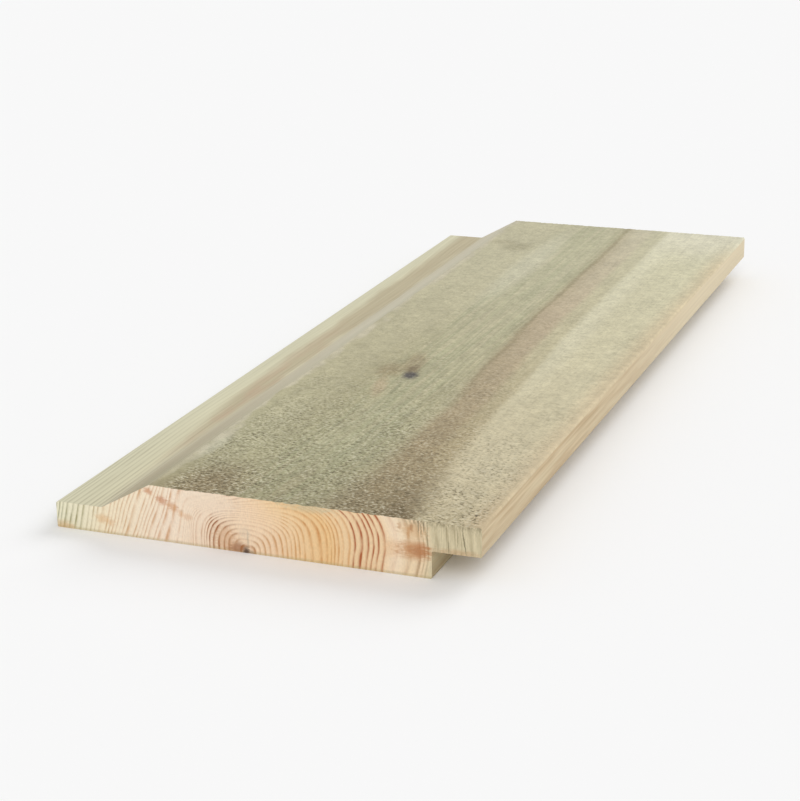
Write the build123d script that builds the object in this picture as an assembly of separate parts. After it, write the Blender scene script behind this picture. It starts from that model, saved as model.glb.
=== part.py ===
"""Pressure-treated double-rebated cladding board, a short length sawn from one piece of softwood.

The section is one planer profile run along the whole length. A thin lip on the left goes under
the neighbouring board, and a sloped shoulder climbs from it to the sawn face. A lip on the right,
left by a rebate cut from below, goes over the next board. Both ends are square saw cuts.

Units are millimetres. X runs across the board from the under lip to the over lip, Y along the
grain and Z from the back face to the sawn face. The origin is the middle of the board's bounding
box, at the level of the back face.
"""

import math
import os

from build123d import *

# The stock
LENGTH = 384.0
WIDTH = 148.0
THICKNESS = 19.0

# The lip that lies under the neighbouring board, and the shoulder that climbs from it
UNDER_LIP_WIDTH = 17.0
UNDER_LIP_THICKNESS = 9.0
SHOULDER_RUN = 18.0
SHOULDER_FOOT_RADIUS = 2.5
SHOULDER_CROWN_RADIUS = 1.5

# The lip that lies over the next board, and the play between two lapped lips
OVER_LIP_WIDTH = 16.3
LAP_CLEARANCE = 0.2
REBATE_CORNER_RADIUS = 0.5

# Eased long edges, as the planer leaves them
LIP_ARRIS_RADIUS = 0.8
BACK_ARRIS_RADIUS = 0.5

NODE = "board"
PARTS_FOLDER = "parts"


def section_corners():
    """The sharp corners of the section with the radius each one is eased to, anticlockwise."""
    left = -WIDTH / 2
    right = WIDTH / 2
    shoulder_foot = left + UNDER_LIP_WIDTH
    shoulder_crown = shoulder_foot + SHOULDER_RUN
    rebate_wall = right - OVER_LIP_WIDTH
    rebate_ceiling = UNDER_LIP_THICKNESS + LAP_CLEARANCE
    return [
        ((left, 0), BACK_ARRIS_RADIUS),
        ((rebate_wall, 0), BACK_ARRIS_RADIUS),
        ((rebate_wall, rebate_ceiling), REBATE_CORNER_RADIUS),
        ((right, rebate_ceiling), BACK_ARRIS_RADIUS),
        ((right, THICKNESS), LIP_ARRIS_RADIUS),
        ((shoulder_crown, THICKNESS), SHOULDER_CROWN_RADIUS),
        ((shoulder_foot, UNDER_LIP_THICKNESS), SHOULDER_FOOT_RADIUS),
        ((left, UNDER_LIP_THICKNESS), LIP_ARRIS_RADIUS),
    ]


def section_face():
    """The planer profile as one closed outline of straight runs and tangent arcs."""
    corners = section_corners()
    points = [point for point, _ in corners]
    radii = [radius for _, radius in corners]
    outline = FilletPolyline(*points, radius=radii, close=True)
    return make_face(Plane.XZ * outline)


def make_board():
    """The profile run along the grain, half the length to each side of the middle."""
    return extrude(section_face(), amount=LENGTH / 2, both=True)


def main():
    os.makedirs(PARTS_FOLDER, exist_ok=True)
    board = make_board()
    board.label = NODE
    export_step(board, f"{PARTS_FOLDER}/{NODE}.step")
    slope = math.degrees(math.atan2(THICKNESS - UNDER_LIP_THICKNESS, SHOULDER_RUN))
    print(f"{NODE}: {board.volume / 1000:.1f} cm3, shoulder at {slope:.1f} degrees")


main()
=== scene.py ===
import math

import bmesh
import bpy
import numpy as np
from mathutils import Matrix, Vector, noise


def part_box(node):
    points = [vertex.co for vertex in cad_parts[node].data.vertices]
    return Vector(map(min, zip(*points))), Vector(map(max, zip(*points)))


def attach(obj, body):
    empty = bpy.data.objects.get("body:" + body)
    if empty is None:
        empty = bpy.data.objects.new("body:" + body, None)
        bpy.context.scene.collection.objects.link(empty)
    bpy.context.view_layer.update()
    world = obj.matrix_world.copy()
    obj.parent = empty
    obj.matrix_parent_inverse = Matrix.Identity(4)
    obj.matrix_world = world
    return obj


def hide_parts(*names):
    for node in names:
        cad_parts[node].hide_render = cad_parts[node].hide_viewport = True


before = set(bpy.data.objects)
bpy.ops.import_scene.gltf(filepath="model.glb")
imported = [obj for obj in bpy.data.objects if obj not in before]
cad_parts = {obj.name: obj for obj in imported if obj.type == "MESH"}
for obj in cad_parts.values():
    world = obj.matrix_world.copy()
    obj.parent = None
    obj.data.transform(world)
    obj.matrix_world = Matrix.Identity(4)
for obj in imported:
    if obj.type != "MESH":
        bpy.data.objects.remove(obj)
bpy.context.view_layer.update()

# The board's section: softwood planed to a double-rebated cladding profile. A thin lip on the left
# goes under the next board, a sloped shoulder climbs from it to the sawn face, and the lip on the
# right is left over a rebate. It is drawn as a flat sheet at the near end and cut to the profile.
MM = 0.001
board_low, board_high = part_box("board")
LEFT, NEAR_END, BACK_FACE = board_low
RIGHT, FAR_END, SAWN_FACE = board_high
WIDTH = RIGHT - LEFT
LENGTH = FAR_END - NEAR_END
THICKNESS = SAWN_FACE - BACK_FACE
UNDER_LIP_WIDTH = 17.0 * MM
UNDER_LIP_THICKNESS = 9.0 * MM
SHOULDER_RUN = 18.0 * MM
OVER_LIP_WIDTH = 16.3 * MM
LAP_CLEARANCE = 0.2 * MM
SHOULDER_FOOT_RADIUS = 2.5 * MM
SHOULDER_CROWN_RADIUS = 1.5 * MM
LIP_ARRIS_RADIUS = 0.8 * MM
PLANED_ARRIS_RADIUS = 0.5 * MM
ARRIS_SEGMENTS = 3
TOUCH = 0.01 * MM

shoulder_foot = LEFT + UNDER_LIP_WIDTH
shoulder_crown = shoulder_foot + SHOULDER_RUN
rebate_wall = RIGHT - OVER_LIP_WIDTH
rebate_ceiling = UNDER_LIP_THICKNESS + LAP_CLEARANCE
shoulder_angle = math.atan2(THICKNESS - UNDER_LIP_THICKNESS, SHOULDER_RUN)
shoulder_normal = (-math.sin(shoulder_angle), 0, math.cos(shoulder_angle))

bpy.ops.object.select_all(action="DESELECT")
bpy.ops.mesh.primitive_plane_add(size=1, location=(0, NEAR_END, THICKNESS / 2))
board = bpy.context.object
board.name = "treated_board"
board.data.name = "treated_board"
board.rotation_euler.x = math.radians(90)
board.scale = (WIDTH, THICKNESS, 1)
bpy.ops.object.transform_apply(location=True, rotation=True, scale=True)
bpy.ops.object.mode_set(mode="EDIT")


def pick(kind, test):
    """In edit mode, selects the verts, edges or faces that pass a test on their place, and no others."""
    bpy.ops.mesh.select_mode(type=kind[:-1].upper())
    bpy.ops.mesh.select_all(action="DESELECT")
    mesh = bmesh.from_edit_mesh(board.data)
    for element in getattr(mesh, kind):
        if test(element):
            element.select_set(True)
    mesh.select_flush_mode()
    bmesh.update_edit_mesh(board.data)


def middle_of(element):
    """The middle of an edge or face."""
    corners = [corner.co for corner in element.verts]
    return sum(corners, corners[0] * 0) / len(corners)


def is_rebate_waste(face):
    """True for what the planer takes from under the over lip."""
    place = middle_of(face)
    return place.x > rebate_wall and place.z < rebate_ceiling


def is_lip_waste(face):
    """True for what the planer takes from above the under lip."""
    place = middle_of(face)
    return place.x < shoulder_foot and place.z > UNDER_LIP_THICKNESS


def is_over_shoulder(face):
    """True for the stock that the sloped cut of the shoulder passes through."""
    place = middle_of(face)
    return shoulder_foot < place.x < shoulder_crown and place.z > UNDER_LIP_THICKNESS


for scored_x in (shoulder_foot, shoulder_crown, rebate_wall):
    pick("faces", lambda face: True)
    bpy.ops.mesh.bisect(plane_co=(scored_x, 0, 0), plane_no=(1, 0, 0), threshold=TOUCH)
for scored_z in (UNDER_LIP_THICKNESS, rebate_ceiling):
    pick("faces", lambda face: True)
    bpy.ops.mesh.bisect(plane_co=(0, 0, scored_z), plane_no=(0, 0, 1), threshold=TOUCH)
for is_waste in (is_rebate_waste, is_lip_waste):
    pick("faces", is_waste)
    bpy.ops.mesh.delete(type="FACE")
pick("faces", is_over_shoulder)
bpy.ops.mesh.bisect(
    plane_co=(shoulder_foot, 0, UNDER_LIP_THICKNESS), plane_no=shoulder_normal,
    clear_outer=True, threshold=TOUCH,
)
bpy.ops.mesh.select_all(action="SELECT")
bpy.ops.mesh.dissolve_limited(angle_limit=math.radians(1))

# Each corner of the section, with the radius it is eased to and the turn of the outline there.
SQUARE = math.radians(90)
section = (
    ((LEFT, BACK_FACE), PLANED_ARRIS_RADIUS, SQUARE),
    ((rebate_wall, BACK_FACE), PLANED_ARRIS_RADIUS, SQUARE),
    ((rebate_wall, rebate_ceiling), PLANED_ARRIS_RADIUS, SQUARE),
    ((RIGHT, rebate_ceiling), PLANED_ARRIS_RADIUS, SQUARE),
    ((RIGHT, SAWN_FACE), LIP_ARRIS_RADIUS, SQUARE),
    ((shoulder_crown, SAWN_FACE), SHOULDER_CROWN_RADIUS, shoulder_angle),
    ((shoulder_foot, UNDER_LIP_THICKNESS), SHOULDER_FOOT_RADIUS, shoulder_angle),
    ((LEFT, UNDER_LIP_THICKNESS), LIP_ARRIS_RADIUS, SQUARE),
)
for (corner_x, corner_z), radius, turn in section:
    pick("verts", lambda vert: math.hypot(vert.co.x - corner_x, vert.co.z - corner_z) < TOUCH)
    bpy.ops.mesh.bevel(
        affect="VERTICES", offset_type="OFFSET", offset=radius * math.tan(turn / 2),
        segments=ARRIS_SEGMENTS, clamp_overlap=False,
    )

# The length: the section is run along the grain, then divided finely enough to carry the relief that
# the saw left. Rows run across the board; columns are close on the sawn face and wide elsewhere.
ROW_BLOCKS = 8
ROWS_IN_BLOCK = 64
SAWN_COLUMN_WIDTH = 0.86 * MM
PLANED_COLUMN_WIDTH = 6.0 * MM
HIDDEN_COLUMN_WIDTH = 14.0 * MM
MOST_CUTS = 99

bpy.ops.mesh.select_all(action="SELECT")
bpy.ops.mesh.extrude_region_move(TRANSFORM_OT_translate={"value": (0, LENGTH, 0)})
bpy.ops.mesh.select_all(action="SELECT")
bpy.ops.mesh.normals_make_consistent(inside=False)


def runs_along(edge):
    """True for an edge that lies along the grain."""
    return abs(edge.verts[0].co.y - edge.verts[1].co.y) > TOUCH


for pieces in (ROW_BLOCKS, ROWS_IN_BLOCK):
    pick("edges", runs_along)
    bpy.ops.mesh.subdivide(number_cuts=pieces - 1)


def column_width(start, end):
    """How wide the columns are on the straight run of the section between two of its corners."""
    if start[1] == end[1] == SAWN_FACE:
        return SAWN_COLUMN_WIDTH
    if start[1] == end[1] == BACK_FACE:
        return HIDDEN_COLUMN_WIDTH
    return PLANED_COLUMN_WIDTH


def divide_run(start, end, cuts):
    """Cuts every edge that lies across the board on one straight run of the section."""
    run_length = math.dist(start, end)
    along = ((end[0] - start[0]) / run_length, (end[1] - start[1]) / run_length)

    def on_run(edge):
        if runs_along(edge):
            return False
        offsets = [(vert.co.x - start[0], vert.co.z - start[1]) for vert in edge.verts]
        reach = [over * along[0] + up * along[1] for over, up in offsets]
        aside = [up * along[0] - over * along[1] for over, up in offsets]
        inside = -TOUCH < min(reach) and max(reach) < run_length + TOUCH
        return inside and max(map(abs, aside)) < TOUCH

    pick("edges", on_run)
    bpy.ops.mesh.subdivide(number_cuts=cuts)


corners = [corner for corner, _, _ in section]
for start, end in zip(corners, corners[1:] + corners[:1]):
    columns = round(math.dist(start, end) / column_width(start, end))
    if columns > MOST_CUTS:
        divide_run(start, end, 1)
        columns = round(columns / 2)
    divide_run(start, end, max(columns - 1, 1))

# The two ends are cut into a coarse grid too, so that the fringe of torn fibres along their top edge
# has faces to bend. The grid lines start from the points of the sawn face and the shoulder.
END_GRID_WIDTH = 1.5 * MM
END_GRID_LINES_Z = (3.0 * MM, 6.0 * MM, 12.0 * MM, 15.0 * MM, 17.6 * MM)
END_FACING = 0.9


def is_end(face):
    """True for the faces of the two saw-cut ends."""
    return abs(face.normal.y) > END_FACING


divided = bmesh.from_edit_mesh(board.data)
near_points = [vert.co for vert in divided.verts if vert.co.y < NEAR_END + TOUCH]
grid_lines = []
for point_x in sorted(point.x for point in near_points if point.z > UNDER_LIP_THICKNESS - TOUCH):
    last_x = grid_lines[-1] if grid_lines else LEFT
    if point_x - last_x > END_GRID_WIDTH and RIGHT - point_x > END_GRID_WIDTH:
        grid_lines.append(point_x)
for line_x in grid_lines:
    pick("faces", is_end)
    bpy.ops.mesh.bisect(plane_co=(line_x, 0, 0), plane_no=(1, 0, 0), threshold=TOUCH)
for line_z in END_GRID_LINES_Z:
    pick("faces", is_end)
    bpy.ops.mesh.bisect(plane_co=(0, 0, line_z), plane_no=(0, 0, 1), threshold=TOUCH)
bpy.ops.mesh.select_all(action="SELECT")
bpy.ops.mesh.normals_make_consistent(inside=False)
bpy.ops.object.mode_set(mode="OBJECT")

# The relief of the sawn face: each tooth of the saw tears short tufts of fibre across the grain, and
# the tears go deeper along the two ends, where the fibres have nothing behind them. All of it is
# cut inwards from the nominal face.
TEAR_LENGTH = 2.2 * MM
TEAR_PITCH = 1.1 * MM
TEAR_DEPTH = 0.28 * MM
FRINGE_LENGTH = 1.2 * MM
FRINGE_DEPTH = 0.15 * MM
FRINGE_REACH = 1.6 * MM
ARRIS_FADE = 3.5 * MM
ROUGH_PATCH = 18.0 * MM
PATCH_MEAN = 0.75
PATCH_SWING = 0.8
PATCH_LEAST = 0.4
SMOOTHER_SHARE = 0.6
# Below the first level of the noise the tears have their full depth, above the second there are none.
TORN_BELOW = 0.3
WHOLE_ABOVE = 0.64
SMOOTH_ANGLE = math.radians(40)

torn_face = board.vertex_groups.new(name="torn_face")
torn_fringe = board.vertex_groups.new(name="torn_fringe")
for vert in board.data.vertices:
    if vert.co.z < SAWN_FACE - TOUCH:
        continue
    inset = min(vert.co.x - shoulder_crown, RIGHT - vert.co.x) / ARRIS_FADE
    patch = PATCH_MEAN + PATCH_SWING * noise.noise(vert.co / ROUGH_PATCH)
    patch = max(PATCH_LEAST, min(1.0, patch))
    patch *= 1 - SMOOTHER_SHARE * (vert.co.y - NEAR_END) / LENGTH
    torn_face.add([vert.index], max(0.0, min(1.0, inset)) * patch, "REPLACE")
    end_gap = min(vert.co.y - NEAR_END, FAR_END - vert.co.y)
    if end_gap < FRINGE_REACH:
        torn_fringe.add([vert.index], 1 - end_gap / FRINGE_REACH, "REPLACE")
board.data.update_tag()
bpy.context.view_layer.update()


def tear(group_name, depth, size):
    """Cuts the relief of one vertex group into the board, down from the face, with tufts of that size."""
    bpy.ops.object.empty_add(location=(0, 0, 0))
    spacing = bpy.context.object
    spacing.scale = size
    texture = bpy.data.textures.new(group_name, "CLOUDS")
    texture.noise_scale = 1.0
    texture.noise_depth = 1
    texture.use_color_ramp = True
    torn, whole = texture.color_ramp.elements
    torn.position = TORN_BELOW
    torn.color = (0, 0, 0, 1)
    whole.position = WHOLE_ABOVE
    whole.color = (1, 1, 1, 1)
    bpy.ops.object.select_all(action="DESELECT")
    board.select_set(True)
    bpy.context.view_layer.objects.active = board
    bpy.ops.object.modifier_add(type="DISPLACE")
    relief = board.modifiers[-1]
    relief.texture = texture
    relief.texture_coords = "OBJECT"
    relief.texture_coords_object = spacing
    relief.vertex_group = group_name
    relief.direction = "Z"
    relief.mid_level = 1.0
    relief.strength = depth
    bpy.context.view_layer.update()
    bpy.ops.object.modifier_apply(modifier=relief.name)
    bpy.data.objects.remove(spacing)


# The groups go by name, because applying a modifier makes the list of groups anew.
tear("torn_face", TEAR_DEPTH, (TEAR_LENGTH, TEAR_PITCH, TEAR_LENGTH))
tear("torn_fringe", FRINGE_DEPTH, (FRINGE_LENGTH, FRINGE_REACH, FRINGE_LENGTH))

# How deep each point lies below the nominal face goes into an attribute, 0 on the tops of the fibres
# and 1 at the bottom of the tears, so that the stain that gathers in the tears and painted shade there
# darken the surface where it is torn.
heights = np.zeros(len(board.data.vertices) * 3)
board.data.vertices.foreach_get("co", heights)
depths = (SAWN_FACE - heights[2::3]) / TEAR_DEPTH
depths[heights[0::3] > RIGHT - LIP_ARRIS_RADIUS] = 0
torn_depth = board.data.attributes.new("torn_depth", "FLOAT", "POINT")
torn_depth.data.foreach_set("value", np.clip(depths, 0, 1).astype(np.float32))
bpy.ops.object.shade_smooth_by_angle(angle=SMOOTH_ANGLE)

# The growth rings: the pith lies at the bottom of the board, left of the middle, so the rings arch
# over it, flat on top, and run down to the back face. They are crowded towards the under lip. All
# three surfaces of the wood are cut through these same rings.
PITH_ACROSS = 69.3
RING_SPAN = 80.0
RING_COUNT = 48
RINGS_TO_OVER_LIP = (
    3.2, 4.6, 6.6, 8.7, 10.9, 12.6, 14.2, 15.6, 17.0, 18.4, 20.2, 22.8, 25.9, 28.0, 29.3, 30.5, 32.0,
    33.6, 35.9, 37.5, 40.0, 42.0, 43.6, 45.3, 47.4, 51.5, 55.9, 59.0, 60.2, 61.4, 65.0, 68.5, 70.6,
    72.5, 76.0,
)
RINGS_TO_UNDER_LIP = (
    2.6, 5.0, 7.0, 8.2, 10.0, 12.0, 13.5, 14.5, 15.3, 16.2, 18.5, 19.3, 20.0, 20.6, 21.3, 22.0, 22.8,
    24.5, 28.2, 31.0, 32.2, 34.8, 36.1, 37.4, 38.7, 40.0, 43.0, 44.3, 45.6, 46.9, 48.2, 49.5, 50.8,
    53.5, 55.0, 56.4, 58.0, 60.2, 62.2, 64.2, 66.3, 67.7, 68.9,
)
# How far from the pith a ring meets the back face, for the height that it reaches above the pith. An
# arch power of 2 would be a round arch.
RING_FEET = ((0, 0), (5, 5), (8, 8.2), (10.5, 11.5), (12.6, 14.7), (14.5, 18.2), (17, 23), (20, 29.5))
ARCH_POWER = 3.0
TALLEST_ARCH = 20.0
# Where a change in the rings starts and is whole: across from the pith, below zero to the under lip, or
# for heights up from the back face.
SIDES_MEET = (-24.0, 20.0)
CURL_SETS_IN = (20.0, 42.0)
CURL_HEIGHTS = (8.0, -1.0)
FOOT_CURL = 1.3
# Towards the under lip the rings are parts of wider arches, which lean straight over towards the pith.
LEAN_SETS_IN = (-14.0, -34.0)
LEAN_CHANGES = (-64.0, -32.0)
LEAN_AT_LIP = 0.2
LEAN_BESIDE_PITH = 0.42
LEAN_FROM_HEIGHT = 4.5
RING_WAVER = 0.3
GRAIN_WANDER = 5.0
GRAIN_WANDER_LENGTH = 170.0
BOARD_WIDTH = WIDTH / MM
BOARD_LENGTH = LENGTH / MM
BOARD_THICKNESS = THICKNESS / MM


def add_node(tree, kind, inputs=None, stops=None, points=None, **settings):
    """Adds a shader node with its settings, its ramp stops or curve points, and its values and links."""
    node = tree.nodes.new("ShaderNode" + kind)
    for name, value in settings.items():
        setattr(node, name, value)
    for socket, value in (inputs or {}).items():
        if isinstance(value, bpy.types.Node):
            value = next(output for output in value.outputs if output.enabled)
        if isinstance(value, bpy.types.NodeSocket):
            tree.links.new(value, node.inputs[socket])
        else:
            node.inputs[socket].default_value = value
    for index, (place, colour) in enumerate(stops or ()):
        elements = node.color_ramp.elements
        element = elements[index] if index < 2 else elements.new(place)
        element.position = place
        element.color = colour
    for index, (place, value) in enumerate(points or ()):
        curve = node.mapping.curves[0]
        point = curve.points[index] if index < 2 else curve.points.new(place, value)
        point.location = (place, value)
        point.handle_type = "VECTOR"
    if points:
        node.mapping.update()
    return node


def fade(tree, value, start, end):
    """Rises smoothly from 0 where the value is at its start to 1 at its end."""
    edges = {"From Min": start, "From Max": end}
    return add_node(tree, "MapRange", {"Value": value, **edges}, interpolation_type="SMOOTHSTEP")


def overlap(tree, *masks):
    """Multiplies masks or values: of several masks, what is left is where they all are at once."""
    shared = masks[0]
    for mask in masks[1:]:
        shared = add_node(tree, "Math", {0: shared, 1: mask}, operation="MULTIPLY")
    return shared


def mottle(tree, place, size, low, high, spread=0.2, detail=2.0, harsh=0.5):
    """An unevenness of the wood, between low and high, that varies over a size in millimetres."""
    sized = add_node(tree, "Mapping", {"Vector": place, "Scale": [1 / mm for mm in size]})
    cloud = {"Scale": 1.0, "Detail": detail, "Roughness": harsh}
    uneven = add_node(tree, "TexNoise", {"Vector": sized, **cloud})
    levels = {"From Min": 0.5 - spread, "From Max": 0.5 + spread, "To Min": low, "To Max": high}
    return add_node(tree, "MapRange", {"Value": uneven, **levels})


def ring_points(radii):
    """The curve that turns a distance from the pith into a count of rings."""
    counted = [(0.0, 0.0)]
    for count, radius in enumerate(radii, start=1):
        counted.append((radius / RING_SPAN, count / RING_COUNT))
    return counted


rings = bpy.data.node_groups.new("growth_rings", "ShaderNodeTree")
for name in ("Latewood", "Place"):
    rings.interface.new_socket(name, in_out="OUTPUT", socket_type="NodeSocketFloat")
place = add_node(rings, "TexCoord").outputs["Object"]
# Board millimetres: across from the under lip's edge, along from the near end, up from the back.
TO_BOARD_MM = {"Location": (BOARD_WIDTH / 2, BOARD_LENGTH / 2, 0), "Scale": (1 / MM,) * 3}
place = add_node(rings, "Mapping", {"Vector": place, **TO_BOARD_MM})
axes = add_node(rings, "SeparateXYZ", {0: place}).outputs
# The pith leaves its straight line a little further on along the board.
drift = mottle(rings, place, (900, GRAIN_WANDER_LENGTH, 900), -GRAIN_WANDER, GRAIN_WANDER, detail=0.0)
drift = overlap(rings, drift, fade(rings, axes["Y"], 0.0, GRAIN_WANDER_LENGTH))
across = add_node(rings, "Math", {0: axes["X"], 1: PITH_ACROSS}, operation="SUBTRACT")
across = add_node(rings, "Math", {0: across, 1: drift}, operation="SUBTRACT")
height = add_node(rings, "Math", {0: axes["Z"], 1: TALLEST_ARCH}, operation="DIVIDE")
feet = [(tall / TALLEST_ARCH, wide / RING_SPAN) for tall, wide in RING_FEET]
foot = add_node(rings, "FloatCurve", {"Value": height}, points=feet)
leaning = fade(rings, across, *LEAN_SETS_IN)
arching = add_node(rings, "Math", {0: RING_SPAN, 1: leaning}, operation="MULTIPLY")
arching = add_node(rings, "Math", {0: RING_SPAN, 1: arching}, operation="SUBTRACT")
foot = overlap(rings, foot, arching)
foot = add_node(rings, "Math", {0: foot, 1: ARCH_POWER}, operation="POWER")
aside = add_node(rings, "Math", {0: across}, operation="ABSOLUTE")
aside = add_node(rings, "Math", {0: aside, 1: ARCH_POWER}, operation="POWER")
radius = add_node(rings, "Math", {0: aside, 1: foot}, operation="ADD")
radius = add_node(rings, "Math", {0: radius, 1: 1 / ARCH_POWER}, operation="POWER")
slopes = {
    "From Min": LEAN_CHANGES[0], "From Max": LEAN_CHANGES[1],
    "To Min": LEAN_AT_LIP, "To Max": LEAN_BESIDE_PITH,
}
slope = add_node(rings, "MapRange", {"Value": across, **slopes})
rise = add_node(rings, "Math", {0: axes["Z"], 1: LEAN_FROM_HEIGHT}, operation="SUBTRACT")
radius = add_node(rings, "Math", {0: radius, 1: overlap(rings, rise, slope, leaning)}, operation="ADD")
# Towards the over lip the feet of the arches curl back in below half the board's thickness.
curl = overlap(rings, fade(rings, axes["Z"], *CURL_HEIGHTS), fade(rings, across, *CURL_SETS_IN))
curl = add_node(rings, "Math", {0: curl, 1: FOOT_CURL}, operation="MULTIPLY")
radius = add_node(rings, "Math", {0: radius, 1: curl}, operation="ADD")
uneven = mottle(rings, place, (9, 90, 9), -RING_WAVER, RING_WAVER, spread=0.35, detail=0.0)
radius = add_node(rings, "Math", {0: radius, 1: uneven}, operation="ADD")
reach = add_node(rings, "Math", {0: radius, 1: RING_SPAN}, operation="DIVIDE")
to_right = add_node(rings, "FloatCurve", {"Value": reach}, points=ring_points(RINGS_TO_OVER_LIP))
to_left = add_node(rings, "FloatCurve", {"Value": reach}, points=ring_points(RINGS_TO_UNDER_LIP))
side = fade(rings, across, *SIDES_MEET)
count = add_node(rings, "Mix", {0: side, 2: to_left, 3: to_right})
count = add_node(rings, "Math", {0: count, 1: float(RING_COUNT)}, operation="MULTIPLY")
ring = add_node(rings, "Math", {0: count}, operation="FRACT")
# Softwood grows slowly darker through the year and starts pale again at once.
latewood = add_node(
    rings, "FloatCurve", {"Value": ring},
    points=((0.0, 0.4), (0.12, 0.05), (0.4, 0.06), (0.62, 0.35), (0.8, 1.0), (0.93, 1.0), (1.0, 0.4)),
)
# Where across the board the ring stands, as a share of its width, so that colours can follow the rings.
side = add_node(rings, "MapRange", {"Value": side, "To Min": -1.0})
ring_place = overlap(rings, radius, side)
ring_place = add_node(rings, "Math", {0: ring_place, 1: PITH_ACROSS}, operation="ADD")
ring_place = add_node(rings, "Math", {0: ring_place, 1: BOARD_WIDTH}, operation="DIVIDE")
ring_outputs = rings.nodes.new("NodeGroupOutput")
rings.links.new(latewood.outputs[0], ring_outputs.inputs["Latewood"])
rings.links.new(ring_place.outputs[0], ring_outputs.inputs["Place"])


def srgb(code, alpha=1.0):
    """A colour written as sRGB hex, as linear red, green, blue and alpha."""
    channels = [int(code[start:start + 2], 16) / 255 for start in (1, 3, 5)]
    linear = [part / 12.92 if part <= 0.04045 else ((part + 0.055) / 1.055) ** 2.4 for part in channels]
    return (*linear, alpha)


def tones(length, *marks):
    """The stops of a ramp over a length in millimetres: each mark is a place, a colour and its alpha."""
    return [(mark[0] / length, srgb(*mark[1:])) for mark in marks]


WOOD_IOR = 1.53


def start_material(name, roughness):
    """A new material on the board: its tree, its shader, board millimetres, their axes and the rings."""
    material = bpy.data.materials.new(name)
    material.use_nodes = True
    board.data.materials.append(material)
    tree = material.node_tree
    wood = tree.nodes["Principled BSDF"]
    wood.inputs["IOR"].default_value = WOOD_IOR
    wood.inputs["Roughness"].default_value = roughness
    place = add_node(tree, "TexCoord").outputs["Object"]
    place = add_node(tree, "Mapping", {"Vector": place, **TO_BOARD_MM})
    axes = add_node(tree, "SeparateXYZ", {0: place}).outputs
    grown = tree.nodes.new("ShaderNodeGroup")
    grown.node_tree = rings
    return tree, wood, place, axes, grown.outputs


def stain(tree, ground, mask, colour, strength=1.0):
    """Lays a colour over the ground where a mask says, as strongly as told."""
    share = overlap(tree, mask, strength)
    return add_node(tree, "Mix", {0: share, 6: ground, 7: colour}, data_type="RGBA")


def spot(tree, place, middle, reach, turn=0.0):
    """A soft spot round a place in board millimetres, 1 in its middle and 0 at its reach."""
    placed = {"Location": middle, "Rotation": (0, 0, math.radians(turn)), "Scale": reach}
    local = add_node(tree, "Mapping", {"Vector": place, **placed}, vector_type="TEXTURE")
    gone = add_node(tree, "VectorMath", {0: local}, operation="LENGTH").outputs["Value"]
    return fade(tree, gone, 1.0, 0.25)


def finish_material(tree, wood, tint, tone, height, depth):
    """Scales the tint by the tone and gives the shader its colour and its fine relief, depth in mm."""
    shaded = add_node(tree, "VectorMath", {0: tint, "Scale": tone}, operation="SCALE")
    tree.links.new(shaded.outputs["Vector"], wood.inputs["Base Color"])
    bump = add_node(tree, "Bump", {"Height": height, "Distance": depth * MM, "Strength": 1.0})
    tree.links.new(bump.outputs["Normal"], wood.inputs["Normal"])


def drawn_line(tree, axes, marks):
    """A line drawn up the board through marks: how far along and how far across, in millimetres."""
    along = add_node(tree, "Math", {0: axes["Y"], 1: BOARD_LENGTH}, operation="DIVIDE")
    shares = [(mm_along / BOARD_LENGTH, mm_across / BOARD_WIDTH) for mm_along, mm_across in marks]
    line = add_node(tree, "FloatCurve", {"Value": along}, points=shares)
    return add_node(tree, "Math", {0: line, 1: BOARD_WIDTH}, operation="MULTIPLY")


# Treated pine, planed: the knives leave it smooth, so the rings show as fine straight lines along the
# grain. The salt solution turns the sapwood of the lips a pale yellow green, the rest a greyer beige.
STRIP_EDGE = ((0, 14.5), (60, 13.2), (110, 9.8), (180, 8.0), (320, 6.3), (384, 6.0))
tree, wood, place, axes, ring = start_material("treated_pine_planed", roughness=0.65)
share = add_node(tree, "Math", {0: axes["X"], 1: BOARD_WIDTH}, operation="DIVIDE")
tint = add_node(tree, "ValToRGB", {0: share}, stops=tones(
    BOARD_WIDTH, (0, "#D6D2B4"), (14, "#D3CDAE"), (20, "#D3CBB1"), (34, "#D8D1B9"), (62, "#C6BC96"),
    (69.3, "#B49268"), (76, "#C9BB93"), (131, "#C2B590"), (147, "#D0BE9A"),
))
waver = mottle(tree, place, (7, 32, 9), -1.3, 1.3)
edge = add_node(tree, "Math", {0: axes["X"], 1: waver}, operation="ADD")
# A strip of browner wood runs up the under lip, beside the shoulder, and blushes in patches on its way.
on_top = fade(tree, axes["Z"], 5.0, 8.0)
strip_edge = drawn_line(tree, axes, STRIP_EDGE)
past_edge = add_node(tree, "Math", {0: edge, 1: strip_edge}, operation="SUBTRACT")
strip = overlap(
    tree, on_top, fade(tree, past_edge, -3.0, 3.0), fade(tree, edge, 19.0, 14.5),
    fade(tree, axes["Y"], 5.0, 110.0),
)
strip = overlap(tree, strip, mottle(tree, place, (1.1, 60, 9), 0.75, 1.1))
tint = stain(tree, tint, strip, srgb("#B7AA8A"), 0.92)
blush = mottle(tree, place, (6, 20, 9), 0.0, 1.0, spread=0.1)
blush = overlap(tree, blush, strip, fade(tree, axes["Y"], 260.0, 150.0))
tint = stain(tree, tint, blush, srgb("#C0A489"), 0.48)
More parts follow.
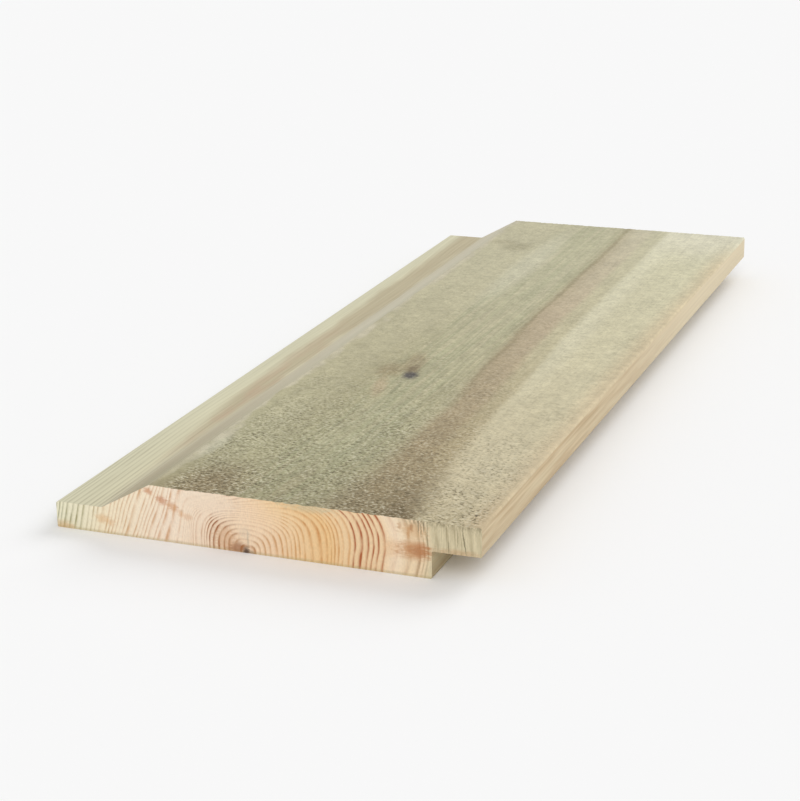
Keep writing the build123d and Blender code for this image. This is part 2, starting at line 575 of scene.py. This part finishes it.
# The shoulder is greyer near the front and greener along its crown. The edge of the over lip is paler
# towards the back, and has brown streaks, most of them near the front.
shoulder = overlap(
    tree, on_top, fade(tree, edge, 14.5, 24.0), fade(tree, axes["X"], 38.0, 36.0),
    fade(tree, axes["Y"], 230.0, 0.0),
)
tint = stain(tree, tint, shoulder, srgb("#B7AA8A"), 0.82)
crown_shade = overlap(tree, shoulder, fade(tree, edge, 23.0, 33.0), fade(tree, axes["Y"], 45.0, 8.0))
tint = stain(tree, tint, crown_shade, srgb("#9C8E6A"), 0.5)
crown_green = overlap(tree, on_top, fade(tree, edge, 25.0, 36.0), fade(tree, axes["X"], 38.0, 36.0))
tint = stain(tree, tint, crown_green, srgb("#BDB897"), 0.45)
lip_edge = overlap(tree, fade(tree, axes["X"], 147.0, 147.8), fade(tree, axes["Y"], 100.0, 260.0))
tint = stain(tree, tint, lip_edge, srgb("#DFD2B4"), 0.52)
brown = mottle(tree, place, (3.0, 34.0, 1.8), 0.0, 1.0, spread=0.18, detail=2.0)
brown = overlap(tree, brown, fade(tree, axes["X"], 130.5, 131.5), fade(tree, axes["Y"], 330.0, 80.0))
tint = stain(tree, tint, brown, srgb("#AA8B62"), 0.62)
# The rings show most near the front, and not on the edge of the over lip.
lines = add_node(tree, "MapRange", {"Value": fade(tree, axes["Y"], 110.0, 10.0), "To Min": 0.35})
patchy = mottle(tree, place, (1.2, 24, 1.2), 0.3, 1.3)
lines = overlap(tree, lines, patchy, ring["Latewood"], fade(tree, axes["X"], 146.5, 144.0))
tint = stain(tree, tint, lines, srgb("#857B5C"), 0.4)
streak = mottle(tree, place, (0.6, 70, 0.6), 0.93, 1.06, detail=3.0)
finish_material(tree, wood, tint, streak, lines, depth=0.05)

# Treated pine, straight from the saw: a felt of short torn fibres that takes up more of the green salt
# and is darker in the tears, partly with the salt there and partly with painted shade. A brown band of
# heartwood runs along it, left of that a small dead knot.
BAND_LEFT_EDGE = ((0, 97), (58, 99), (115, 99.5), (154, 97), (185, 95.8), (250, 94.5), (384, 92.3))
BAND_RIGHT_EDGE = ((0, 126), (38, 121.5), (77, 119), (134, 116.5), (230, 113.2), (384, 112))
# Each spot: its middle across and along, its reach both ways, its turn in degrees, colour and strength.
SAWN_SPOTS = (
    ((53, 4), (17, 30), 0, "#7E6642", 0.56),
    ((62, 105), (13, 130), 0, "#9C946F", 0.3),
    ((92, 70), (7, 110), 0, "#968E6A", 0.25),
    ((70.0, 151), (6.0, 17), 12, "#957A59", 0.42),
    ((65.0, 139), (8.5, 13), 0, "#98815D", 0.45),
    ((67.5, 119), (4.0, 17), 12, "#BDA486", 0.5),
    ((74.5, 117), (1.3, 20), 8, "#7A7B5F", 0.38),
    ((72.3, 141), (4.2, 8), 12, "#6E5B41", 0.65),
    ((73.8, 134.5), (4.4, 6.6), 15, "#3D3841", 0.9),
    ((51, 334), (10, 11), 0, "#989173", 0.5),
    ((42, 341), (10, 7), 0, "#A59C7E", 0.4),
    ((66, 305), (9, 90), 0, "#D3CFB6", 0.5),
    ((38.5, 42), (4, 20), 0, "#D3CFB8", 0.5),
    ((132, 372), (22, 40), 0, "#DDD8C2", 0.35),
    ((147, 4), (6, 26), 0, "#AF9B76", 0.6),
)
tree, wood, place, axes, ring = start_material("treated_pine_sawn", roughness=0.85)
waver = mottle(tree, place, (14, 60, 14), -0.9, 0.9)
fray = mottle(tree, place, (2.2, 1.6, 3.0), -0.5, 0.5)
waver = add_node(tree, "Math", {0: waver, 1: fray}, operation="ADD")
edge = add_node(tree, "Math", {0: axes["X"], 1: waver}, operation="ADD")
band_left = drawn_line(tree, axes, BAND_LEFT_EDGE)
band_right = drawn_line(tree, axes, BAND_RIGHT_EDGE)
past_left = add_node(tree, "Math", {0: edge, 1: band_left}, operation="SUBTRACT")
past_right = add_node(tree, "Math", {0: edge, 1: band_right}, operation="SUBTRACT")
band_width = add_node(tree, "Math", {0: band_right, 1: band_left}, operation="SUBTRACT")
band_share = add_node(tree, "Math", {0: past_left, 1: band_width}, operation="DIVIDE")
softening = {"From Max": 110.0, "To Min": 8.0, "To Max": 2.0}
softness = add_node(tree, "MapRange", {"Value": axes["Y"], **softening})
in_band = add_node(tree, "Math", {0: past_left, 1: softness}, operation="DIVIDE")
in_band = fade(tree, in_band, -1.0, 1.0)
in_rim = fade(tree, band_share, 0.5, 0.75)
# The edge of the sapwood is soft near the front too, but sharp at the end itself.
softness = overlap(tree, softness, fade(tree, axes["Y"], -4.0, 14.0))
in_sapwood = add_node(tree, "Math", {0: past_right, 1: softness}, operation="DIVIDE")
in_sapwood = fade(tree, in_sapwood, -1.0, 1.0)

# Each kind of wood is darkest at the near end and paler towards the far end: partly its own tone,
# partly painted sheen for the grazing light from behind that the far part catches.
along = add_node(tree, "Math", {0: axes["Y"], 1: BOARD_LENGTH}, operation="DIVIDE")
tint = add_node(tree, "ValToRGB", {0: along}, stops=tones(
    BOARD_LENGTH, (0, "#A29876"), (45, "#B2AD8A"), (150, "#B9B291"), (300, "#C1BB9C"),
))
heart = add_node(tree, "ValToRGB", {0: along}, stops=tones(
    BOARD_LENGTH, (0, "#8B7C5B"), (60, "#A39270"), (230, "#C0B093"), (384, "#C7C0A4"),
))
heart_rim = add_node(tree, "ValToRGB", {0: along}, stops=tones(
    BOARD_LENGTH, (0, "#7F6D4C"), (60, "#AF9F7B"), (175, "#C1B896"), (384, "#C7C2A3"),
))
sapwood = add_node(tree, "ValToRGB", {0: along}, stops=tones(
    BOARD_LENGTH, (0, "#C3B592"), (45, "#CFC3A2"), (175, "#D0C8A7"), (320, "#D2CDAD"), (384, "#DCD8BE"),
))
heart = add_node(tree, "Mix", {0: in_rim, 6: heart, 7: heart_rim}, data_type="RGBA")
tint = add_node(tree, "Mix", {0: in_band, 6: tint, 7: heart}, data_type="RGBA")
tint = add_node(tree, "Mix", {0: in_sapwood, 6: tint, 7: sapwood}, data_type="RGBA")
# The sapwood is palest beside the heartwood, and the heartwood starts at one darker ring, with a soft
# shade before it.
palest = overlap(
    tree, fade(tree, past_right, -1.5, 2.0), fade(tree, past_right, 13.0, 4.0),
    fade(tree, axes["Y"], 90.0, 200.0),
)
tint = stain(tree, tint, palest, srgb("#DEDAC0"), 0.32)
past_ring = add_node(tree, "Math", {0: past_left}, operation="ABSOLUTE")
ring_shade = overlap(tree, fade(tree, past_ring, 7.0, 0.5), fade(tree, axes["Y"], 60.0, 200.0))
tint = stain(tree, tint, ring_shade, srgb("#A39372"), 0.35)
ring_line = overlap(tree, fade(tree, past_ring, 1.6, 0.3), fade(tree, axes["Y"], 60.0, 160.0))
tint = stain(tree, tint, ring_line, srgb("#8A7A5A"), 0.4)
# Green streaks of salt between the knot and the heartwood.
green = mottle(tree, place, (1.5, 48, 3.0), 0.0, 1.0, spread=0.14)
green = overlap(tree, green, fade(tree, axes["X"], 56.0, 68.0), fade(tree, axes["X"], 97.0, 90.0))
tint = stain(tree, tint, green, srgb("#96A078"), 0.28)
# Knot, smudges and pale places, with edges that follow the torn fibres.
fray_edge = add_node(tree, "Math", {0: axes["X"], 1: fray}, operation="ADD")
fray_place = add_node(tree, "CombineXYZ", {0: fray_edge, 1: axes["Y"], 2: axes["Z"]})
for middle, reach, turn, colour, strength in SAWN_SPOTS:
    mask = spot(tree, fray_place, (*middle, BOARD_THICKNESS), (*reach, BOARD_THICKNESS), turn)
    tint = stain(tree, tint, mask, srgb(colour), strength)
# The planed shoulder breaks into the sawn face along an uneven line, and the sawn face into the
# warmer wood of the over lip's edge.
uneven = mottle(tree, place, (6, 18, 5), -3.0, 3.0)
crown_line = add_node(tree, "Math", {0: axes["X"], 1: uneven}, operation="ADD")
crown = add_node(tree, "MapRange", {"Value": fade(tree, axes["Y"], 0.0, 45.0), "To Min": 0.3})
crown = overlap(tree, crown, fade(tree, crown_line, 38.5, 35.0))
tint = stain(tree, tint, crown, srgb("#C9C1A9"), 0.75)
warm = overlap(tree, fade(tree, edge, 138.0, 149.5), fade(tree, axes["Y"], 384.0, 320.0))
tint = stain(tree, tint, warm, srgb("#D0BB98"), 0.7)

# Tufts and tears: short dark tears across the grain with pale tufts beside them, in rougher and
# smoother patches, plainest near the front, where the saw tore most. The dark of the tears is partly
# stain and partly painted shade, the pale of the tufts partly paler fibre and partly painted highlight.
# Single fibres are too fine to show, so the tufts are drawn about a millimetre wide. Straight fibres run
# between them, and the tone varies in clouds, in flecks and, from the knot to the heartwood, in lines
# along the grain.
tufts = mottle(tree, place, (1.15, 0.8, 3.0), -1.0, 1.0, spread=0.18, detail=4.0, harsh=0.6)
smoother = add_node(tree, "MapRange", {"Value": in_sapwood, "To Min": 190.0, "To Max": 110.0})
rough = add_node(tree, "Math", {0: axes["Y"], 1: smoother}, operation="DIVIDE")
rough = fade(tree, rough, 1.0, 0.0)
rough = add_node(tree, "MapRange", {"Value": rough, "To Min": 0.25, "To Max": 1.0})
patches = mottle(tree, place, (13, 20, 13), 0.65, 1.25, spread=0.16)
rough = overlap(
    tree, rough, patches, fade(tree, axes["X"], 35.5, 42.0), fade(tree, axes["X"], 148.0, 144.0),
)
# Dark tears: stain and painted shade.
tint = stain(tree, tint, overlap(tree, fade(tree, tufts, 0.0, 0.85), rough), srgb("#554B31"), 0.78)
# Pale tufts: paler fibre and painted highlight.
tint = stain(tree, tint, overlap(tree, fade(tree, tufts, -0.1, -0.8), rough), srgb("#E2DCC4"), 0.5)
# Painted shade at the bottom of the tears, with the stain that gathers there.
tears = add_node(tree, "Attribute", attribute_name="torn_depth").outputs["Fac"]
tint = stain(tree, tint, fade(tree, tears, 0.35, 1.0), srgb("#63583D"), 0.22)
fibres = mottle(tree, place, (0.55, 13, 3.0), 0.0, 1.0, detail=3.0)
tint = stain(tree, tint, fade(tree, fibres, 0.45, 1.0), srgb("#7C7657"), 0.09)
streak = mottle(tree, place, (1.1, 80, 3.0), 0.97, 1.03, detail=3.0)
cloudy = mottle(tree, place, (10, 17, 8), 0.95, 1.06)
ticks = mottle(tree, place, (3.4, 3.0, 3.0), 0.92, 1.09)
grain = mottle(tree, place, (1.0, 40, 3.0), -0.09, 0.09, spread=0.14)
grain = overlap(
    tree, grain, fade(tree, axes["X"], 58.0, 68.0), fade(tree, axes["X"], 99.0, 92.0),
    fade(tree, axes["Y"], 15.0, 55.0), fade(tree, axes["Y"], 330.0, 200.0),
)
grain = add_node(tree, "Math", {0: grain, 1: 1.0}, operation="ADD")
finish_material(tree, wood, tint, overlap(tree, streak, cloudy, ticks, grain), tufts, depth=0.08)

# Treated pine, cross cut: the saw shows the untreated heart, cream with orange brown rings, between the
# two green edges where the salt reached the sapwood. Resin and old branch traces stain it.
STAIN_DEPTH = 150.0
# Each spot: its middle across and up, its reach both ways, its turn in degrees, colour and strength.
END_SPOTS = (
    ((55.0, 15.5), (14.0, 6.5), 0, "#EFDAC1", 0.75),
    ((125.8, 8.8), (8.6, 4.6), 0, "#BC7F49", 0.72),
    ((128.0, 8.8), (4.6, 3.6), 0, "#A96735", 0.5),
    ((126.0, 15.2), (6.5, 4.0), 0, "#C79A66", 0.45),
    ((125.0, 16.2), (1.2, 2.2), 0, "#AF7847", 0.7),
    ((121.2, 16.4), (0.9, 1.9), 0, "#B78556", 0.5),
    ((34.6, 16.8), (2.8, 1.6), -20, "#C48050", 0.65),
    ((39.2, 14.2), (2.8, 2.2), -20, "#C07A4C", 0.65),
    ((43.0, 12.5), (3.0, 2.0), -20, "#CC925F", 0.6),
    ((46.0, 10.6), (1.8, 1.8), 0, "#D0985F", 0.5),
    ((48.4, 9.6), (2.2, 1.8), 0, "#CF9F70", 0.4),
    ((65.4, 1.4), (4.6, 2.8), 15, "#955C32", 0.75),
    ((68.7, 0.4), (1.6, 2.4), 0, "#46291A", 0.9),
    ((70.4, 0.3), (2.0, 1.2), 0, "#7A5A40", 0.5),
    ((69.4, 4.8), (0.6, 5.0), 0, "#A29480", 0.4),
    ((68.6, 6.8), (3.0, 3.0), 0, "#CFC2AE", 0.25),
    ((2.0, 0.4), (7.0, 3.2), 0, "#CDA066", 0.5),
    ((17.2, 5.0), (3.6, 2.4), 0, "#D9AA70", 0.5),
    ((20.4, 4.0), (2.0, 1.8), 0, "#DDB487", 0.5),
    ((140.5, 9.7), (10.0, 1.8), 0, "#BE966A", 0.5),
    ((118.5, 8.8), (4.0, 4.6), 0, "#E2B88A", 0.45),
    ((61.5, 4.0), (6.0, 6.5), 0, "#CC9E74", 0.5),
    ((91.0, 18.8), (13.0, 3.2), 0, "#C6BC9B", 0.6),
    ((124.1, 14.4), (0.7, 3.2), 0, "#C08A55", 0.55),
    ((127.4, 17.0), (0.35, 4.0), 0, "#5E553C", 0.6),
    ((128.3, 16.0), (0.3, 5.0), 0, "#5E553C", 0.5),
    ((129.2, 17.2), (0.35, 3.6), 0, "#5E553C", 0.55),
    ((130.3, 15.0), (0.3, 5.5), 0, "#5E553C", 0.45),
    ((136.6, 15.8), (0.3, 3.5), 0, "#7E7150", 0.4),
    ((137.2, 11.2), (0.3, 3.0), 0, "#6E6245", 0.6),
    ((140.2, 14.5), (0.3, 4.5), 0, "#6E6245", 0.5),
    ((142.3, 13.5), (0.35, 6.0), 9, "#5E553C", 0.75),
)
tree, wood, place, axes, ring = start_material("treated_pine_cross_cut", roughness=0.75)
tint = add_node(tree, "ValToRGB", {0: ring["Place"]}, stops=tones(
    BOARD_WIDTH, (0, "#ECE7CA"), (12, "#F0E7CA"), (17, "#F4E6C8"), (40, "#F5E4CE"), (56, "#F2DDC4"),
    (75, "#F2D6B4"), (86, "#EFD0A4"), (98, "#EDC891"), (103, "#EED0A4"), (116, "#EFD3AA"),
    (120, "#F4E0C4"), (125, "#F0DAB6"), (129, "#EED6B2"), (132.5, "#D9CCA9"),
))
ring_tint = add_node(tree, "ValToRGB", {0: ring["Place"]}, stops=tones(
    BOARD_WIDTH, (0, "#7E7B4A", 0.55), (10, "#928752", 0.5), (14, "#B0925A", 0.4), (18, "#C4965C", 0.45),
    (40, "#C4864E", 0.48), (48, "#D2A77C", 0.3), (57, "#B4743F", 0.5), (60, "#9E5E2F", 0.92),
    (64, "#9A5A2E", 0.95), (68, "#A0622F", 0.85), (72, "#BE8446", 0.6), (84, "#C98B48", 0.55),
    (102, "#CB8A48", 0.6),
    (105.3, "#CB8A48", 0.4), (106.2, "#AA5C30", 0.9), (117, "#AE6336", 0.84), (119, "#C99468", 0.2),
    (127, "#A07850", 0.4), (131, "#84704A", 0.5), (133, "#7D6C48", 0.25),
))
patchy = mottle(tree, place, (2.2, 50, 7), 0.35, 1.65)
# The rings are plain on the flanks of the arches and faint over the pith.
beside = add_node(tree, "Math", {0: axes["X"], 1: PITH_ACROSS}, operation="SUBTRACT")
beside = add_node(tree, "Math", {0: beside}, operation="ABSOLUTE")
beside = add_node(tree, "Math", {0: beside, 1: 2.0}, operation="ADD")
steep = add_node(tree, "Math", {0: axes["Z"], 1: beside}, operation="DIVIDE")
flank = add_node(tree, "MapRange", {"Value": fade(tree, steep, 1.3, 0.5), "To Min": 0.35})
lines = overlap(tree, ring["Latewood"], ring_tint.outputs["Alpha"], flank)
lines = add_node(tree, "Math", {0: lines, 1: patchy}, operation="MULTIPLY", use_clamp=True)
tint = add_node(tree, "Mix", {0: lines, 6: tint, 7: ring_tint}, data_type="RGBA")
# The salt went a little way in from the back face.
tint = stain(tree, tint, fade(tree, axes["Z"], 1.3, 0.2), srgb("#B3A273"), 0.5)
fray = mottle(tree, place, (2.2, 40, 0.7), -0.35, 0.35, detail=3.0)
for middle, reach, turn, colour, strength in END_SPOTS:
    frayed = add_node(tree, "Math", {0: fray, 1: reach[0], 2: axes["X"]}, operation="MULTIPLY_ADD")
    frayed = add_node(tree, "CombineXYZ", {0: frayed, 1: axes["Z"], 2: axes["Y"]})
    mask = spot(tree, frayed, (*middle, 0.0), (*reach, STAIN_DEPTH), turn)
    tint = stain(tree, tint, mask, srgb(colour), strength)
# The fibres of the over lip are frayed like the sawn face, and hang down from its front edge in tufts.
frayed = mottle(tree, place, (0.45, 40, 6), 0.0, 1.0, spread=0.14, detail=3.0)
frayed = overlap(tree, frayed, fade(tree, axes["X"], 130.5, 133.0))
tint = stain(tree, tint, frayed, srgb("#85764F"), 0.25)
hanging = mottle(tree, place, (0.7, 40, 1.6), 0.0, 1.0, spread=0.12, detail=3.0)
hanging = overlap(tree, hanging, fade(tree, axes["X"], 118.0, 128.0), fade(tree, axes["Z"], 15.5, 19.0))
tint = stain(tree, tint, hanging, srgb("#6B6044"), 0.6)
fibre = mottle(tree, place, (0.5, 40, 1.1), 0.92, 1.05, detail=3.0)
finish_material(tree, wood, tint, fibre, fibre, depth=0.06)

# Each face gets the finish of the tool that made it: the ends were cross cut, the top came straight
# from the saw, and the planer made the rest. The dressed board then stands for the plain solid.
SAWN_DEPTH = 1.2 * MM
PLANED, SAWN, END = range(3)
for face in board.data.polygons:
    if is_end(face):
        face.material_index = END
    elif face.center.z > SAWN_FACE - SAWN_DEPTH and face.center.x > shoulder_crown:
        face.material_index = SAWN
    else:
        face.material_index = PLANED
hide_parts("board")
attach(board, "root")

# The floor: a plain sheet of matt white studio paper, wide enough to fill the view to its edges, with
# nothing on it but the board's own soft shadow.
FLOOR_SIZE = 8.0
bpy.ops.object.select_all(action="DESELECT")
bpy.ops.mesh.primitive_grid_add(x_subdivisions=8, y_subdivisions=8, size=FLOOR_SIZE, location=(0, 0, 0))
floor = bpy.context.object
floor.name = "studio_paper"
paper = bpy.data.materials.new("white_studio_paper")
paper.use_nodes = True
paper.node_tree.nodes["Principled BSDF"].inputs["Base Color"].default_value = srgb("#F8F8F8")
paper.node_tree.nodes["Principled BSDF"].inputs["Roughness"].default_value = 1.0
paper.node_tree.nodes["Principled BSDF"].inputs["Specular IOR Level"].default_value = 0.0
floor.data.materials.append(paper)

# The light: a white tent all round, with a broad soft lamp behind to draw the relief of the sawn face
# and a weaker one in front for the cut end. Together they light a level surface at its own colour.
TENT_STRENGTH = 0.6
LAMP_SPREAD = math.radians(40)
world = bpy.data.worlds.new("white_tent")
bpy.context.scene.world = world
world.use_nodes = True
world.node_tree.nodes["Background"].inputs["Color"].default_value = srgb("#FFFFFF")
world.node_tree.nodes["Background"].inputs["Strength"].default_value = TENT_STRENGTH
for name, strength, height, heading in (
    ("lamp_behind", 1.2, 35, 155),
    ("lamp_in_front", 1.0, 35, 25),
):
    bpy.ops.object.light_add(type="SUN")
    lamp = bpy.context.object
    lamp.name = name
    lamp.data.energy = strength
    lamp.data.angle = LAMP_SPREAD
    lamp.rotation_euler = (math.radians(90 - height), 0, math.radians(heading))

# The camera stands in front and to the right, a little above the board, with a long lens.
CAMERA_PLACE = (0.2543, -0.7201, 0.2467)
CAMERA_YAW = math.radians(21.335)
CAMERA_PITCH = math.radians(18.507)
CAMERA_ROLL = math.radians(-0.865)
LENS_LENGTH = 89.5
SENSOR_WIDTH = 36.0
NEAREST_SEEN = 0.01
bpy.ops.object.camera_add()
camera = bpy.context.object
camera.data.lens = LENS_LENGTH
camera.data.sensor_width = SENSOR_WIDTH
camera.data.clip_start = NEAREST_SEEN
camera.matrix_world = (
    Matrix.Translation(CAMERA_PLACE)
    @ Matrix.Rotation(CAMERA_YAW, 4, "Z")
    @ Matrix.Rotation(math.radians(90) - CAMERA_PITCH, 4, "X")
    @ Matrix.Rotation(CAMERA_ROLL, 4, "Z")
)
bpy.context.scene.camera = camera
bpy.context.scene.view_settings.view_transform = "Standard"
